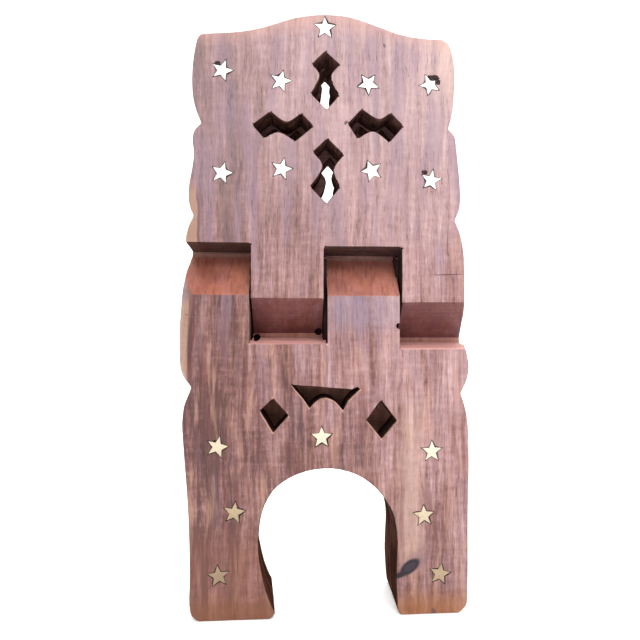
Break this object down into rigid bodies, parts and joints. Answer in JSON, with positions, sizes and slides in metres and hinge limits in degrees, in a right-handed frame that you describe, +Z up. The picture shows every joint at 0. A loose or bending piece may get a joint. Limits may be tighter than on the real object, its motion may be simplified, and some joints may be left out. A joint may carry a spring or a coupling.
{
  "type": "quran stand",
  "caption": "Folding book stand cut from one plank: interlocking leaves, carved outline, pierced diamonds, arched feet and brass star inlays.",
  "frame": {"origin": "on the floor under the middle of the folded plank: half of its width, half of its thickness, at the soles of the feet", "axes": "+Z up along the folded plank, +X to the right along the hinge as seen from the front, +Y from the front face to the back"},
  "size_m": [0.1588, 0.038, 0.32],
  "materials": {
    "front_rest_wood": "pinkish brown, straight grained, waxed",
    "rear_rest_wood": "red brown, straight grained, waxed",
    "star_brass": "pale, filed flush, lightly worn"
  },
  "bodies": {
    "rear_rest_body": {"rear_rest_leaf": "rear_rest_wood", "rear_rest_star_1": "star_brass", "rear_rest_star_2": "star_brass", "rear_rest_star_3": "star_brass", "rear_rest_star_4": "star_brass", "rear_rest_star_5": "star_brass", "rear_rest_star_6": "star_brass", "rear_rest_star_7": "star_brass", "rear_rest_star_8": "star_brass", "rear_rest_star_9": "star_brass", "front_leg_star_1": "star_brass", "front_leg_star_2": "star_brass", "front_leg_star_3": "star_brass", "front_leg_star_4": "star_brass", "front_leg_star_5": "star_brass", "front_leg_star_6": "star_brass", "front_leg_star_7": "star_brass"},
    "front_rest_body": {"front_rest_leaf": "front_rest_wood", "front_rest_star_1": "star_brass", "front_rest_star_2": "star_brass", "front_rest_star_3": "star_brass", "front_rest_star_4": "star_brass", "front_rest_star_5": "star_brass", "front_rest_star_6": "star_brass", "front_rest_star_7": "star_brass", "front_rest_star_8": "star_brass", "front_rest_star_9": "star_brass", "rear_leg_star_1": "star_brass", "rear_leg_star_2": "star_brass", "rear_leg_star_3": "star_brass", "rear_leg_star_4": "star_brass", "rear_leg_star_5": "star_brass", "rear_leg_star_6": "star_brass", "rear_leg_star_7": "star_brass"}
  },
  "joints": [
    {"name": "fold", "type": "hinge", "parent": "rear_rest_body", "child": "front_rest_body", "pos_m": [0, 0, 0.17], "axis": [1, 0, 0], "range_deg": [0, 105]}
  ]
}
